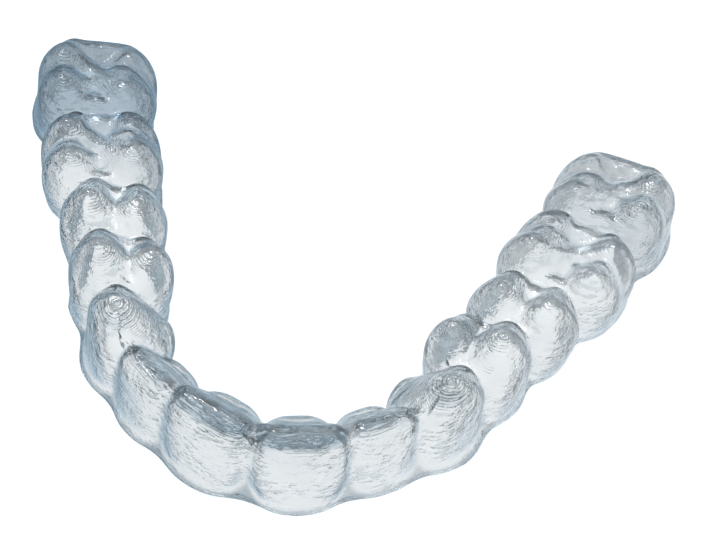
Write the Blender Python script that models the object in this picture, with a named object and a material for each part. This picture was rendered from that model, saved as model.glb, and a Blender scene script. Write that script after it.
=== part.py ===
"""Clear aligner for an upper arch: one formed sheet with a pocket for each of fourteen teeth.

The sheet lies on its trimmed rim with the biting side up. X runs across the arch, -Y is the front
and +Z the biting side. Sizes are in millimetres until the mesh is made.

The outside of the sheet is the joined surface of fourteen crowns and a low band along the gums. The
inside is the same surface moved in by the thickness of the sheet. The trim is a flat cut at Z = 0.
"""

from collections import namedtuple

import bmesh
import bpy
import numpy as np

MM = 0.001

# The sheet, and the rounding where a crown meets its neighbour or the gum band.
SHEET_THICKNESS = 0.75
JOIN_ROUNDING = 0.5

# The arch line under the crowns: part of an ellipse from the midline, then a run that hardly turns.
ARCH_HALF_WIDTH = 18.8
ARCH_DEPTH = 20.0
ARCH_SWEEP = 69.4
ARCH_CURL = 0.003
ARCH_LENGTH = 64.0
ARCH_STEPS = 2000

# Width of each tooth along the arch, from the midline to the back.
CENTRAL_WIDTH = 8.6
LATERAL_WIDTH = 6.9
CANINE_WIDTH = 8.0
PREMOLAR1_WIDTH = 7.5
PREMOLAR2_WIDTH = 7.15
MOLAR1_WIDTH = 10.25
MOLAR2_WIDTH = 10.5

# Height of the tray over each tooth, from the trim to the highest cusp or edge.
CENTRAL_HEIGHT = 10.0
LATERAL_HEIGHT = 9.2
CANINE_HEIGHT = 10.05
PREMOLAR1_HEIGHT = 9.6
PREMOLAR2_HEIGHT = 9.0
MOLAR1_HEIGHT = 8.45
MOLAR2_HEIGHT = 8.5

# Depth of each crown from its centre to the cheek side.
CENTRAL_OUTWARD = 2.35
LATERAL_OUTWARD = 2.05
CANINE_OUTWARD = 2.85
PREMOLAR1_OUTWARD = 4.8
PREMOLAR2_OUTWARD = 5.55
MOLAR1_OUTWARD = 6.45
MOLAR2_OUTWARD = 6.2

# Depth of each crown from its centre to the palate side.
CENTRAL_INWARD = 5.4
LATERAL_INWARD = 4.95
CANINE_INWARD = 5.65
PREMOLAR1_INWARD = 5.25
PREMOLAR2_INWARD = 5.1
MOLAR1_INWARD = 6.05
MOLAR2_INWARD = 6.35

# The band along the gums, which the trim cuts: its height, and how far it swings out at the middle of
# each tooth and in between two.
GUM_HEIGHT = 1.4
GUM_SCALLOP = 0.35
SCALLOP_SPREAD = 2.2

# The gum points between the teeth: their height, half their width, and how far they lie behind the
# edge of the gum band.
PAPILLA_HEIGHT = 3.6
PAPILLA_SPREAD = 1.6
PAPILLA_STEP = 0.6

# The web along the arch line, which keeps the notches between the teeth shallow: its depth to either
# side, and its height as a share of the teeth.
WEB_DEPTH = 1.1
WEB_SHARE = 0.6

# Power of the rounded section of the bands.
BAND_POWER = 2.6

# Rounding between two ridges of one crown, the height of the widest girth as a share of the crown,
# how much each crown is widened by the sheet on either side, and half the width of the cheek groove
# as a share of its tooth.
RIDGE_ROUNDING = 0.35
GIRTH_SHARE = 0.45
SIDE_SHEET = 0.6
GROOVE_SHARE = 0.13

# The share of a height over the biting side that counts as distance from it, and how far past its own
# width a crown still shapes the sheet.
SLANT_SHARE = 0.8
NEIGHBOUR_REACH = 7.0

# The knob round a cusp: how steeply its sides fall in the end, and the width of its level middle.
DOME_SLOPE = 2.4
DOME_TIP = 3.5

# The mesh: points from the trim to the top of a profile, profiles round each end, and how many times
# finer the surface is worked out than the mesh that is kept.
ROWS = 13
END_STEPS = 16
FINER = 4
RAYS = 96
RAY_REACH = 12.0
HALVINGS = 24

# A ridge runs from start to end. Each is (share of the half width towards the back, share of the
# depth outwards, drop below the crown's height). The surface falls away from the ridge at the slope,
# and the tip is the distance in which it bends over.
Ridge = namedtuple("Ridge", "start end slope tip")

# width along the arch; height over the trim; outward and inward depth from the arch line; power of
# the outline; flare of the outward side; how much the crown narrows along the arch at the neck, and
# its depth at the neck on the cheek side and on the palate side; narrowing at the top; lean; rounding
# between side and top; cheek groove; depths of the gum band; mesh columns.
Tooth = namedtuple(
    "Tooth",
    "name width height outward inward power flare taper neck_out neck_in top lean corner groove"
    " gum_out gum_in columns ridges",
)


def incisor_ridges(near_share, near_drop, far_drop):
    """A straight biting edge, two ridges down the tongue side and the low bulge between them."""
    return (
        Ridge((near_share, 0.23, near_drop), (0.66, 0.23, far_drop), 1.2, 1.0),
        Ridge((-0.62, 0.05, 0.6), (-0.40, -0.60, 3.6), 1.1, 0.9),
        Ridge((0.62, 0.05, 0.6), (0.40, -0.60, 3.6), 1.1, 0.9),
        Ridge((-0.25, -0.72, 4.0), (0.25, -0.72, 4.0), 0.9, 1.2),
    )


def cusp_dome(cusp, drop=0.1):
    """The rounded knob round a cusp: a very short ridge whose sides start level and soon get steep."""
    along, across, cusp_drop = cusp
    return Ridge(
        (along - 0.03, across, cusp_drop + drop), (along + 0.03, across, cusp_drop + drop),
        DOME_SLOPE, DOME_TIP,
    )


CANINE_TIP = (0.0, 0.1, 0.0)
CANINE_RIDGES = (
    Ridge(CANINE_TIP, (-0.80, -0.07, 2.5), 1.5, 1.5),
    Ridge(CANINE_TIP, (0.74, -0.05, 1.6), 1.5, 1.5),
    Ridge(CANINE_TIP, (0.0, -0.75, 4.6), 1.0, 1.4),
    Ridge(CANINE_TIP, (0.0, 0.70, 2.6), 1.3, 1.5),
    cusp_dome(CANINE_TIP, 0.2),
)

PREMOLAR1_CHEEK_CUSP = (0.04, 0.40, 0.0)
PREMOLAR1_PALATE_CUSP = (-0.10, -0.56, 1.1)
PREMOLAR1_RIDGES = (
    Ridge(PREMOLAR1_CHEEK_CUSP, (0.0, 0.05, 2.4), 1.8, 1.8),
    Ridge(PREMOLAR1_CHEEK_CUSP, (-0.62, 0.40, 2.2), 1.8, 1.8),
    Ridge(PREMOLAR1_CHEEK_CUSP, (0.70, 0.36, 1.1), 1.8, 1.8),
    Ridge(PREMOLAR1_PALATE_CUSP, (0.0, -0.15, 3.0), 1.6, 2.0),
    Ridge(PREMOLAR1_PALATE_CUSP, (-0.55, -0.50, 2.6), 1.6, 1.8),
    Ridge(PREMOLAR1_PALATE_CUSP, (0.55, -0.50, 2.1), 1.6, 1.8),
    Ridge((-0.66, 0.30, 2.7), (-0.60, -0.45, 3.0), 1.0, 1.2),
    Ridge((0.66, 0.30, 2.6), (0.60, -0.45, 2.9), 1.0, 1.2),
    cusp_dome(PREMOLAR1_CHEEK_CUSP),
    cusp_dome(PREMOLAR1_PALATE_CUSP),
)

PREMOLAR2_CHEEK_CUSP = (-0.04, 0.50, 0.0)
PREMOLAR2_PALATE_CUSP = (-0.16, -0.40, 0.5)
PREMOLAR2_RIDGES = (
    Ridge(PREMOLAR2_CHEEK_CUSP, (0.0, 0.10, 2.2), 1.8, 1.8),
    Ridge(PREMOLAR2_CHEEK_CUSP, (-0.64, 0.44, 2.0), 1.8, 1.8),
    Ridge(PREMOLAR2_CHEEK_CUSP, (0.72, 0.42, 1.0), 1.8, 1.8),
    Ridge(PREMOLAR2_PALATE_CUSP, (0.0, -0.10, 2.4), 1.6, 2.2),
    Ridge(PREMOLAR2_PALATE_CUSP, (-0.60, -0.45, 2.1), 1.6, 1.8),
    Ridge(PREMOLAR2_PALATE_CUSP, (0.62, -0.44, 1.4), 1.6, 1.8),
    Ridge((-0.68, 0.35, 2.3), (-0.64, -0.40, 2.5), 1.0, 1.2),
    Ridge((0.68, 0.35, 2.2), (0.64, -0.40, 2.4), 1.0, 1.2),
    cusp_dome(PREMOLAR2_CHEEK_CUSP),
    cusp_dome(PREMOLAR2_PALATE_CUSP),
)

MOLAR1_FRONT_CHEEK_CUSP = (-0.50, 0.56, 0.0)
MOLAR1_BACK_CHEEK_CUSP = (0.40, 0.57, 0.3)
MOLAR1_FRONT_PALATE_CUSP = (-0.38, -0.46, 0.0)
MOLAR1_BACK_PALATE_CUSP = (0.56, -0.48, 0.8)
MOLAR1_RIDGES = (
    Ridge(MOLAR1_FRONT_CHEEK_CUSP, (-0.16, 0.56, 0.6), 1.9, 1.9),
    Ridge(MOLAR1_FRONT_CHEEK_CUSP, (-0.16, 0.12, 2.2), 1.6, 1.8),
    Ridge(MOLAR1_FRONT_CHEEK_CUSP, (-0.74, 0.50, 1.3), 1.4, 1.8),
    Ridge(MOLAR1_BACK_CHEEK_CUSP, (0.74, 0.46, 1.1), 1.8, 1.8),
    Ridge(MOLAR1_BACK_CHEEK_CUSP, (0.12, 0.10, 1.9), 1.6, 1.8),
    Ridge(MOLAR1_FRONT_PALATE_CUSP, (0.14, -0.40, 0.7), 1.7, 2.2),
    Ridge(MOLAR1_FRONT_PALATE_CUSP, (0.06, 0.08, 1.9), 1.5, 2.0),
    Ridge(MOLAR1_FRONT_PALATE_CUSP, (-0.70, -0.40, 1.6), 1.4, 1.8),
    Ridge(MOLAR1_BACK_PALATE_CUSP, (0.78, -0.44, 1.3), 1.6, 1.8),
    Ridge(MOLAR1_BACK_PALATE_CUSP, (0.34, -0.15, 2.4), 1.5, 1.8),
    Ridge((-0.76, 0.48, 1.9), (-0.74, -0.42, 2.0), 1.0, 1.2),
    Ridge((0.76, 0.42, 2.0), (0.76, -0.45, 2.1), 1.0, 1.2),
    cusp_dome(MOLAR1_FRONT_CHEEK_CUSP),
    cusp_dome(MOLAR1_BACK_CHEEK_CUSP),
    cusp_dome(MOLAR1_FRONT_PALATE_CUSP),
    cusp_dome(MOLAR1_BACK_PALATE_CUSP),
)

MOLAR2_FRONT_CHEEK_CUSP = (-0.46, 0.56, 0.0)
MOLAR2_BACK_CHEEK_CUSP = (0.34, 0.55, 0.4)
MOLAR2_FRONT_PALATE_CUSP = (-0.46, -0.44, 0.7)
MOLAR2_BACK_PALATE_CUSP = (0.46, -0.50, 1.3)
MOLAR2_RIDGES = (
    Ridge(MOLAR2_FRONT_CHEEK_CUSP, (-0.16, 0.55, 0.6), 1.8, 1.9),
    Ridge(MOLAR2_FRONT_CHEEK_CUSP, (-0.16, 0.12, 1.9), 1.4, 1.8),
    Ridge(MOLAR2_BACK_CHEEK_CUSP, (0.72, 0.42, 1.2), 1.5, 1.8),
    Ridge(MOLAR2_BACK_CHEEK_CUSP, (0.16, 0.12, 1.8), 1.4, 1.8),
    Ridge(MOLAR2_FRONT_PALATE_CUSP, (-0.06, -0.40, 1.0), 1.6, 2.0),
    Ridge(MOLAR2_FRONT_PALATE_CUSP, (0.10, 0.10, 1.9), 1.4, 2.0),
    Ridge(MOLAR2_BACK_PALATE_CUSP, (0.30, -0.20, 2.2), 1.3, 1.8),
    Ridge((-0.74, 0.46, 1.6), (-0.74, -0.42, 1.8), 0.9, 1.2),
    Ridge((0.72, 0.40, 1.5), (0.72, -0.45, 1.8), 0.8, 1.2),
    cusp_dome(MOLAR2_FRONT_CHEEK_CUSP),
    cusp_dome(MOLAR2_BACK_CHEEK_CUSP),
    cusp_dome(MOLAR2_FRONT_PALATE_CUSP),
    cusp_dome(MOLAR2_BACK_PALATE_CUSP),
)

# From the midline to the back of the arch.
TEETH = (
    Tooth(
        name="central", width=CENTRAL_WIDTH, height=CENTRAL_HEIGHT,
        outward=CENTRAL_OUTWARD, inward=CENTRAL_INWARD,
        power=2.6, flare=0.0, taper=0.30, neck_out=0.02, neck_in=0.08, top=0.10, lean=-0.05,
        corner=1.1, groove=0.0, gum_out=2.45, gum_in=5.8, columns=8,
        ridges=incisor_ridges(-0.82, 0.0, 0.25),
    ),
    Tooth(
        name="lateral", width=LATERAL_WIDTH, height=LATERAL_HEIGHT,
        outward=LATERAL_OUTWARD, inward=LATERAL_INWARD,
        power=2.6, flare=-0.04, taper=0.30, neck_out=0.02, neck_in=0.08, top=0.10, lean=-0.05,
        corner=1.1, groove=0.0, gum_out=2.1, gum_in=5.5, columns=6,
        ridges=incisor_ridges(-0.74, 0.1, 0.5),
    ),
    Tooth(
        name="canine", width=CANINE_WIDTH, height=CANINE_HEIGHT,
        outward=CANINE_OUTWARD, inward=CANINE_INWARD,
        power=2.4, flare=0.0, taper=0.16, neck_out=0.02, neck_in=0.12, top=0.16, lean=-0.03,
        corner=1.3, groove=0.0, gum_out=3.1, gum_in=5.35, columns=8, ridges=CANINE_RIDGES,
    ),
    Tooth(
        name="premolar1", width=PREMOLAR1_WIDTH, height=PREMOLAR1_HEIGHT,
        outward=PREMOLAR1_OUTWARD, inward=PREMOLAR1_INWARD,
        power=2.7, flare=0.08, taper=0.07, neck_out=0.12, neck_in=0.12, top=0.14, lean=0.0,
        corner=1.4, groove=0.0, gum_out=4.3, gum_in=4.75, columns=6, ridges=PREMOLAR1_RIDGES,
    ),
    Tooth(
        name="premolar2", width=PREMOLAR2_WIDTH, height=PREMOLAR2_HEIGHT,
        outward=PREMOLAR2_OUTWARD, inward=PREMOLAR2_INWARD,
        power=2.7, flare=0.06, taper=0.07, neck_out=0.18, neck_in=0.10, top=0.14, lean=0.0,
        corner=1.4, groove=0.0, gum_out=4.2, gum_in=4.8, columns=6, ridges=PREMOLAR2_RIDGES,
    ),
    Tooth(
        name="molar1", width=MOLAR1_WIDTH, height=MOLAR1_HEIGHT,
        outward=MOLAR1_OUTWARD, inward=MOLAR1_INWARD,
        power=2.9, flare=0.0, taper=0.07, neck_out=0.13, neck_in=0.10, top=0.12, lean=0.0,
        corner=1.4, groove=0.5, gum_out=5.4, gum_in=5.9, columns=10, ridges=MOLAR1_RIDGES,
    ),
    Tooth(
        name="molar2", width=MOLAR2_WIDTH, height=MOLAR2_HEIGHT,
        outward=MOLAR2_OUTWARD, inward=MOLAR2_INWARD,
        power=2.9, flare=0.0, taper=0.07, neck_out=0.0, neck_in=0.10, top=0.12, lean=0.0,
        corner=1.4, groove=0.4, gum_out=5.9, gum_in=5.65, columns=10, ridges=MOLAR2_RIDGES,
    ),
)

# How far each tooth stands outside the arch line, and how far it is turned from it in degrees, on
# the -X side and on the +X side. A real arch is a little uneven.
STANDS_OUT = {
    "central": (0.75, 1.15),
    "lateral": (0.45, 0.3),
    "canine": (0.2, 0.4),
    "premolar1": (-0.8, -0.6),
    "premolar2": (-0.9, -0.1),
    "molar1": (0.1, 0.45),
    "molar2": (1.0, 0.85),
}
TURNED = {
    "central": (-7.5, -5.0),
    "lateral": (-0.5, -2.5),
    "canine": (-2.0, -1.0),
    "premolar1": (2.0, -4.5),
    "premolar2": (-2.5, 1.5),
    "molar1": (2.0, 0.0),
    "molar2": (0.0, -3.0),
}

# How much further a tooth and the gum beside it reach to the cheek side and to the palate side than
# the same tooth of TEETH, on the -X side and on the +X side.
REACHES_OUT = {
    "central": (0.0, 0.0),
    "lateral": (-0.1, 0.0),
    "canine": (-0.2, 0.0),
    "premolar1": (0.0, 0.0),
    "premolar2": (0.0, 0.35),
    "molar1": (0.0, 0.45),
    "molar2": (0.0, -0.05),
}
REACHES_IN = {
    "central": (0.0, 0.1),
    "lateral": (0.2, 0.25),
    "canine": (0.2, 0.3),
    "premolar1": (0.25, 0.25),
    "premolar2": (0.1, 0.3),
    "molar1": (-0.05, 0.5),
    "molar2": (0.0, 0.4),
}

# One tooth in its place: its length along the arch line, its centre, and its own two directions.
Placed = namedtuple("Placed", "kind along start end stands_out centre back outward")


def arch_table():
    """Length along the arch line from the midline, with x, y and heading at each length."""
    sweep = np.linspace(0.0, np.radians(ARCH_SWEEP), ARCH_STEPS)
    x = ARCH_HALF_WIDTH * np.sin(sweep)
    y = ARCH_DEPTH * (1.0 - np.cos(sweep))
    heading = np.arctan2(ARCH_DEPTH * np.sin(sweep), ARCH_HALF_WIDTH * np.cos(sweep))
    length = np.append(0.0, np.cumsum(np.hypot(np.diff(x), np.diff(y))))
    rest = np.linspace(0.0, ARCH_LENGTH - length[-1], ARCH_STEPS)[1:]
    rest_heading = heading[-1] + ARCH_CURL * rest
    step = rest[1] - rest[0]
    rest_x = x[-1] + np.cumsum(np.cos(rest_heading)) * step
    rest_y = y[-1] + np.cumsum(np.sin(rest_heading)) * step
    return (
        np.append(length, length[-1] + rest),
        np.append(x, rest_x),
        np.append(y, rest_y),
        np.append(heading, rest_heading),
    )


def on_arch(along):
    """Points and outward directions at signed lengths along the arch line, negative on the -X side."""
    length, x, y, heading = arch_table()
    side = np.where(along < 0.0, -1.0, 1.0)
    reach = np.abs(along)
    angle = np.interp(reach, length, heading)
    points = np.stack([side * np.interp(reach, length, x), np.interp(reach, length, y)], axis=-1)
    outward = np.stack([side * np.sin(angle), -np.cos(angle)], axis=-1)
    return points, outward


def place_teeth():
    """The fourteen teeth in order from the -X end of the arch to the +X end."""
    placed = []
    for side in (-1.0, 1.0):
        edge = 0.0
        for tooth in TEETH:
            more_out = REACHES_OUT[tooth.name][int(side > 0.0)]
            more_in = REACHES_IN[tooth.name][int(side > 0.0)]
            kind = tooth._replace(
                outward=tooth.outward + more_out,
                gum_out=tooth.gum_out + more_out,
                inward=tooth.inward + more_in,
                gum_in=tooth.gum_in + more_in,
            )
            along = side * (edge + kind.width / 2)
            points, directions = on_arch(np.array([along]))
            outward = directions[0]
            back = side * np.array([-outward[1], outward[0]])
            stands_out = STANDS_OUT[kind.name][int(side > 0.0)]
            turn = np.radians(TURNED[kind.name][int(side > 0.0)])
            placed.append(
                Placed(
                    kind,
                    along,
                    min(side * edge, side * (edge + kind.width)),
                    max(side * edge, side * (edge + kind.width)),
                    stands_out,
                    points[0] + outward * stands_out,
                    back * np.cos(turn) + outward * np.sin(turn),
                    outward * np.cos(turn) - back * np.sin(turn),
                )
            )
            edge += kind.width
    return sorted(placed, key=lambda tooth: tooth.along)


def rounded_max(a, b, rounding):
    """The larger of two heights or distances, with the corner between them rounded."""
    near = np.maximum(rounding - np.abs(a - b), 0.0) / rounding
    return np.maximum(a, b) + near * near * rounding / 4


def biting_height(kind, along, across):
    """Height of the biting side over each place: the highest of the ridges, with rounded valleys."""
    height = None
    for ridge in kind.ridges:
        ends = []
        for share_along, share_across, drop in (ridge.start, ridge.end):
            depth = kind.outward if share_across > 0.0 else kind.inward
            ends.append((share_along * kind.width / 2, share_across * depth, drop))
        (along0, across0, drop0), (along1, across1, drop1) = ends
        run_along = along1 - along0
        run_across = across1 - across0
        share = ((along - along0) * run_along + (across - across0) * run_across) / (
            run_along**2 + run_across**2
        )
        share = np.clip(share, 0.0, 1.0)
        off_along = along - along0 - share * run_along
        off_across = across - across0 - share * run_across
        distance = np.sqrt(off_along**2 + off_across**2 + ridge.tip**2) - ridge.tip
        here = kind.height - drop0 - share * (drop1 - drop0) - ridge.slope * distance
        height = here if height is None else rounded_max(height, here, RIDGE_ROUNDING)
    return height


def crown(tooth, x, y, z):
    """About the distance outside one crown, with the sheet on it: its side wall under its biting side."""
    kind = tooth.kind
    dx = x - tooth.centre[0]
    dy = y - tooth.centre[1]
    along = dx * tooth.back[0] + dy * tooth.back[1]
    across = dx * tooth.outward[0] + dy * tooth.outward[1]
    girth = GIRTH_SHARE * kind.height
    across = across - kind.lean * (z - girth)
    below = np.clip((girth - z) / girth, 0.0, 1.2) ** 2
    above = np.clip((z - girth) / (kind.height - girth), 0.0, 1.3) ** 2
    narrow = 1.0 - kind.top * above
    depth = np.where(across > 0.0, kind.outward, kind.inward)
    neck = np.where(across > 0.0, kind.neck_out, kind.neck_in)
    flare = 1.0 + kind.flare * np.clip(across / depth, -1.2, 1.2)
    half_width = (kind.width / 2 + SIDE_SHEET * SHEET_THICKNESS) * (narrow - kind.taper * below) * flare
    cheek = np.where(across > 0.0, kind.groove, 0.0) * np.clip(z / kind.height, 0.0, 1.0)
    groove_here = np.exp(-((along / (GROOVE_SHARE * kind.width)) ** 2))
    half_depth = depth * (narrow - neck * below) - cheek * groove_here
    power = kind.power
    ratio = (np.abs(along) / half_width) ** power + (np.abs(across) / half_depth) ** power
    side = (ratio ** (1.0 / power) - 1.0) * np.minimum(half_width, half_depth)
    top = (z - biting_height(kind, along, across)) * SLANT_SHARE
    return rounded_max(side, top, kind.corner)


def band(reach, z, half_depth, height):
    """About the distance outside a band along the arch, whose section is half of a rounded rectangle."""
    ratio = (np.abs(reach) / half_depth) ** BAND_POWER + (np.abs(z) / height) ** BAND_POWER
    return (ratio ** (1.0 / BAND_POWER) - 1.0) * np.minimum(half_depth, height)


def profile_places(teeth, finer):
    """Where each profile stands and points, once round the arch: out, round an end, in, round the other.

    Gives the place on the arch line, the direction, the length along the arch and how far the
    profile has turned from the outward side (0) to the inward side (1).
    """
    columns = [tooth.kind.columns * finer for tooth in teeth]
    along = [tooth.start + tooth.kind.width * np.arange(n) / n for tooth, n in zip(teeth, columns)]
    along = np.append(np.concatenate(along), teeth[-1].end)
    along = along[(along > teeth[0].along - 1e-6) & (along < teeth[-1].along + 1e-6)]
    points, outward = on_arch(along)
    stands_out = np.interp(along, [tooth.along for tooth in teeth], [tooth.stands_out for tooth in teeth])
    points = points + outward * stands_out[:, None]
    onward = np.stack([-outward[:, 1], outward[:, 0]], axis=-1)
    turn = np.pi * np.arange(1, END_STEPS * finer) / (END_STEPS * finer)
    cos, sin = np.cos(turn)[:, None], np.sin(turn)[:, None]
    steps = len(turn)
    last = np.repeat(points[-1:], steps, axis=0)
    first = np.repeat(points[:1], steps, axis=0)
    places = [points, last, points[::-1], first]
    directions = [
        outward,
        outward[-1] * cos + onward[-1] * sin,
        -outward[::-1],
        -outward[0] * cos - onward[0] * sin,
    ]
    lengths = [along, np.full(steps, along[-1]), along[::-1], np.full(steps, along[0])]
    inwards = [np.zeros(len(along)), turn / np.pi, np.ones(len(along)), 1.0 - turn / np.pi]
    return tuple(np.concatenate(part) for part in (places, directions, lengths, inwards))


def outer_surface(teeth, finer):
    """Points of the outside, profile by profile, from the trim up to the line over the arch.

    Each point is where a ray from inside the crowns leaves them. The rays of a profile turn from
    level to straight up while their start climbs to half the height of the tooth.
    """
    places, directions, lengths, inwards = profile_places(teeth, finer)
    middles = [tooth.along for tooth in teeth]
    outer = np.interp(lengths, middles, [tooth.kind.gum_out for tooth in teeth])
    inner = np.interp(lengths, middles, [tooth.kind.gum_in for tooth in teeth])
    contacts = np.array([tooth.start for tooth in teeth[1:]])
    gap = np.abs(lengths[:, None] - contacts).min(axis=1)
    scallop = GUM_SCALLOP * (1.0 - 2.0 * np.exp(-((gap / SCALLOP_SPREAD) ** 2)))
    half_depth = (outer + scallop) * (1.0 - inwards) + inner * inwards
    papilla = np.exp(-((gap / PAPILLA_SPREAD) ** 2))
    papilla_height = GUM_HEIGHT + (PAPILLA_HEIGHT - GUM_HEIGHT) * papilla
    tooth_height = np.interp(lengths, middles, [tooth.kind.height for tooth in teeth])

    rise = np.linspace(0.0, np.pi / 2, RAYS)
    start = 0.5 * tooth_height[:, None] * np.sin(rise)
    low = np.zeros(start.shape)
    high = np.full(start.shape, RAY_REACH)

    def ray_points(distance):
        reach = distance * np.cos(rise)
        x = places[:, 0, None] + directions[:, 0, None] * reach
        y = places[:, 1, None] + directions[:, 1, None] * reach
        return reach, x, y, start + distance * np.sin(rise)

    for _ in range(HALVINGS):
        middle = (low + high) / 2
        reach, x, y, z = ray_points(middle)
        gums = band(reach, z, half_depth[:, None], GUM_HEIGHT)
        papillae = band(reach, z, half_depth[:, None] - PAPILLA_STEP, papilla_height[:, None])
        web = band(reach, z, WEB_DEPTH, WEB_SHARE * tooth_height[:, None])
        between = rounded_max(-web, -papillae, JOIN_ROUNDING)
        outside = -rounded_max(-gums, between, JOIN_ROUNDING)
        for tooth in teeth:
            near = np.abs(lengths - tooth.along) < tooth.kind.width / 2 + NEIGHBOUR_REACH
            own = crown(tooth, x[near], y[near], z[near])
            outside[near] = -rounded_max(-outside[near], -own, JOIN_ROUNDING)
        low = np.where(outside < 0.0, middle, low)
        high = np.where(outside < 0.0, high, middle)
    _, x, y, z = ray_points((low + high) / 2)
    return even_rows(np.stack([x, y, z], axis=-1), (ROWS - 1) * finer + 1)


def even_rows(profiles, rows):
    """The same profiles with their points at even distances."""
    steps = np.linalg.norm(np.diff(profiles, axis=1), axis=2)
    lengths = np.concatenate([np.zeros((len(profiles), 1)), np.cumsum(steps, axis=1)], axis=1)
    even = np.empty((len(profiles), rows, 3))
    for row, (profile, length) in enumerate(zip(profiles, lengths)):
        wanted = np.linspace(0.0, length[-1], rows)
        for axis in range(3):
            even[row, :, axis] = np.interp(wanted, length, profile[:, axis])
    return even


def surface_normals(points):
    """Outward unit normals. Profiles that meet at the top share the mean of their normals."""
    along = np.roll(points, -1, axis=0) - np.roll(points, 1, axis=0)
    upward = np.gradient(points, axis=1)
    normals = np.cross(along, upward)
    normals[:, -1] = normals[:, -2]
    _, group = np.unique(np.round(points[:, -1], 6), axis=0, return_inverse=True)
    group = group.reshape(-1)
    sums = np.zeros((group.max() + 1, 3))
    np.add.at(sums, group, normals[:, -1] / np.linalg.norm(normals[:, -1], axis=1, keepdims=True))
    normals[:, -1] = sums[group]
    return normals / np.linalg.norm(normals, axis=2, keepdims=True)


def sheet_surfaces():
    """The two faces of the sheet, both cut level at the trim, centred over the origin."""
    outer = outer_surface(place_teeth(), FINER)
    inner = outer - SHEET_THICKNESS * surface_normals(outer)
    outer = outer[::FINER, ::FINER]
    inner = inner[::FINER, ::FINER]
    outer[:, 0, 2] = 0.0
    inner[:, 0, 2] = 0.0
    centre = (outer.min(axis=(0, 1)) + outer.max(axis=(0, 1))) / 2
    centre[2] = 0.0
    return outer - centre, inner - centre


def skin(bm, points, reverse):
    """Adds one face of the sheet. Returns the edges along its trim."""
    columns = [[bm.verts.new(point) for point in column] for column in points * MM]
    for column, following in zip(columns, columns[1:] + columns[:1]):
        for row in range(len(column) - 1):
            corners = [column[row], following[row], following[row + 1], column[row + 1]]
            bm.faces.new(corners[::-1] if reverse else corners)
    firsts = [column[0] for column in columns]
    return [bm.edges.get(pair) for pair in zip(firsts, firsts[1:] + firsts[:1])]


def clear_scene():
    for obj in list(bpy.data.objects):
        bpy.data.objects.remove(obj, do_unlink=True)


def clear_plastic():
    material = bpy.data.materials.new("clear_plastic")
    material.use_nodes = True
    shader = material.node_tree.nodes["Principled BSDF"]
    shader.inputs["Base Color"].default_value = (0.88, 0.93, 0.95, 1.0)
    shader.inputs["Roughness"].default_value = 0.08
    shader.inputs["IOR"].default_value = 1.5
    shader.inputs["Transmission Weight"].default_value = 1.0
    return material


def build_aligner():
    """The sheet as one closed body: both faces, joined along the trim."""
    outer, inner = sheet_surfaces()
    bm = bmesh.new()
    trim = skin(bm, outer, reverse=False) + skin(bm, inner, reverse=True)
    bmesh.ops.bridge_loops(bm, edges=trim)
    bmesh.ops.remove_doubles(bm, verts=bm.verts, dist=1e-6)
    bmesh.ops.recalc_face_normals(bm, faces=bm.faces)
    mesh = bpy.data.meshes.new("aligner_shell")
    bm.to_mesh(mesh)
    bm.free()
    mesh.shade_smooth()
    mesh.materials.append(clear_plastic())
    aligner = bpy.data.objects.new("aligner_shell", mesh)
    bpy.context.scene.collection.objects.link(aligner)
    return aligner


clear_scene()
build_aligner()
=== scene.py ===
"""Clear aligner for an upper arch, dressed as one sheet of clear plastic lying on a pale floor.

X runs across the arch, -Y is the front and +Z the biting side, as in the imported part. Shapes are
worked out in millimetres and put into the mesh in metres.
"""

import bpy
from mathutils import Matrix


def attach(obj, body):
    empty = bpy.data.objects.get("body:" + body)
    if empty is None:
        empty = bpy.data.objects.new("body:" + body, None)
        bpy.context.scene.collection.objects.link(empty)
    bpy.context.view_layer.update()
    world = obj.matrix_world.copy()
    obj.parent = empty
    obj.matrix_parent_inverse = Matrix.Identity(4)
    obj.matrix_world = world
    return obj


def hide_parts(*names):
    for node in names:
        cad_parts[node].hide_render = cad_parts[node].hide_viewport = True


bl_info = {
    "name": "Clear aligner",
    "version": (1, 0, 0),
    "blender": (4, 5, 0),
    "location": "View3D > Sidebar > Aligner",
    "description": "Builds a clear aligner with a pocket for each upper tooth, and a stage for it",
    "category": "Add Mesh",
}

import math
from collections import namedtuple

import bmesh
import bpy
import numpy as np
from mathutils import Euler, Matrix, Vector

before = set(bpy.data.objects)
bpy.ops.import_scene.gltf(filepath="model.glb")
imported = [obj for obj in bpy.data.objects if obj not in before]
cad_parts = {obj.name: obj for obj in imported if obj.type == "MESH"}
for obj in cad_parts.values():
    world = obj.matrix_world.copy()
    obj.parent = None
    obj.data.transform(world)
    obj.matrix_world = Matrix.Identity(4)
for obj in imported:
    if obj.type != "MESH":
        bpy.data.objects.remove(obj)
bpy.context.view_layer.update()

NODE = "aligner_shell"
MM = 0.001

# The arch line under the crowns: part of an ellipse from the midline, then a run that hardly turns.
ARCH_HALF_WIDTH = 18.8
ARCH_DEPTH = 20.0
ARCH_SWEEP = 69.4
ARCH_CURL = 0.003
ARCH_LENGTH = 64.0
ARCH_STEPS = 2000

# The band along the gums and the web along the arch line, with the power of their rounded section.
GUM_HEIGHT = 1.4
GUM_SCALLOP = 0.35
SCALLOP_SPREAD = 2.2
PAPILLA_HEIGHT = 3.6
PAPILLA_SPREAD = 1.6
PAPILLA_STEP = 0.6
WEB_DEPTH = 1.1
WEB_SHARE = 0.6
BAND_POWER = 2.6

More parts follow.
